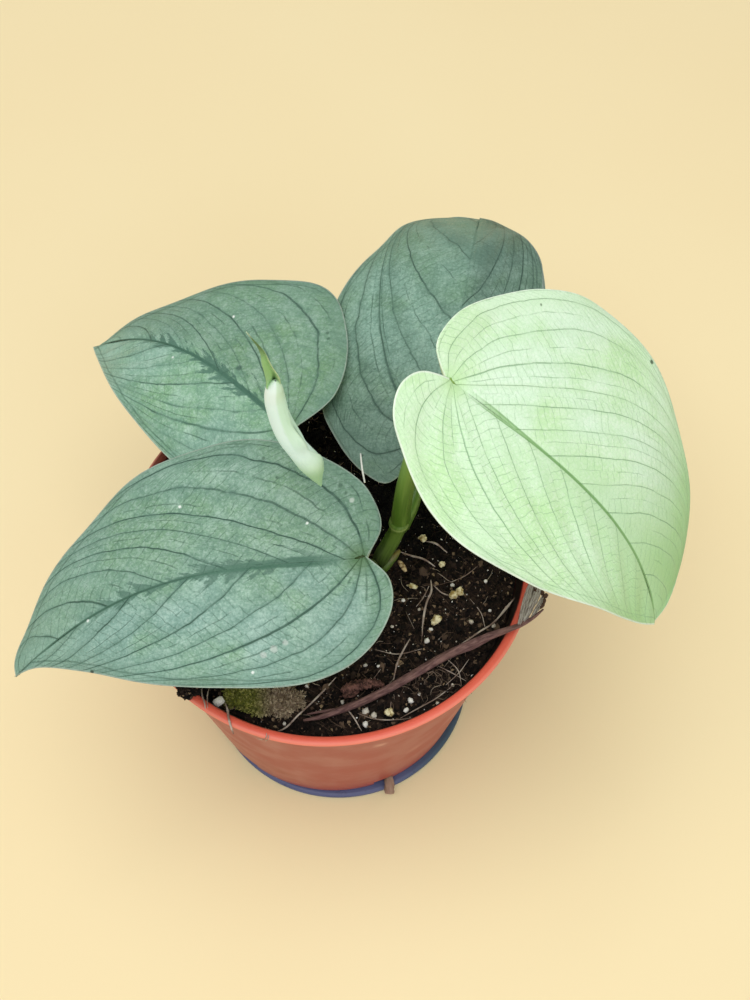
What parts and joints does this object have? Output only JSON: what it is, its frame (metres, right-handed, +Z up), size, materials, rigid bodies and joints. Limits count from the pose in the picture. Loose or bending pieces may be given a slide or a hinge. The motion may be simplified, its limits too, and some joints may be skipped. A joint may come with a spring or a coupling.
{
  "type": "potted scindapsus plant",
  "caption": "Young potted climber with broad silvery heart-shaped leaves and a rolled pale new leaf, in a small round tapered nursery pot on a flat saucer.",
  "frame": {"origin": "on the flat underside of the saucer, on the upright axis of the pot", "axes": "+Z up; +X towards the side on which the pale leaf hangs; +Y towards the side on which the longest dark leaf lies, away from the small sprig of root at the pot's foot"},
  "size_m": [0.184, 0.1722, 0.2106],
  "materials": {
    "saucer": "satin moulded plastic",
    "pot": "satin moulded plastic, soil-stained",
    "soil": "damp, crumbly",
    "stem": "smooth living stem",
    "leaf_front": "satin silvery leaf",
    "leaf_left": "satin silvery leaf",
    "leaf_back": "satin silvery leaf",
    "leaf_right": "satin pale young leaf",
    "new_leaf": "smooth waxy rolled leaf",
    "moss": "soft moss",
    "bark": "rough bark",
    "chip": "white porous grain",
    "grit": "porous grain",
    "dry_stalk": "dry, fibrous",
    "root": "dry root"
  },
  "bodies": {
    "root": {"saucer": "saucer", "pot": "pot", "soil": "soil", "main_stem": "stem", "left_stem": "stem", "leaf_front": "leaf_front", "leaf_left": "leaf_left", "leaf_back": "leaf_back", "leaf_right": "leaf_right", "new_leaf": "new_leaf", "moss_patch": "moss", "bark_flake": "bark", "white_chip": "chip", "grit_right": "grit", "grit_front": "grit", "bark_pellet": "bark", "soil_spill": "soil", "dry_stick": "dry_stalk", "surface_root_1": "root", "surface_root_2": "root", "drain_root": "root"}
  },
  "joints": []
}
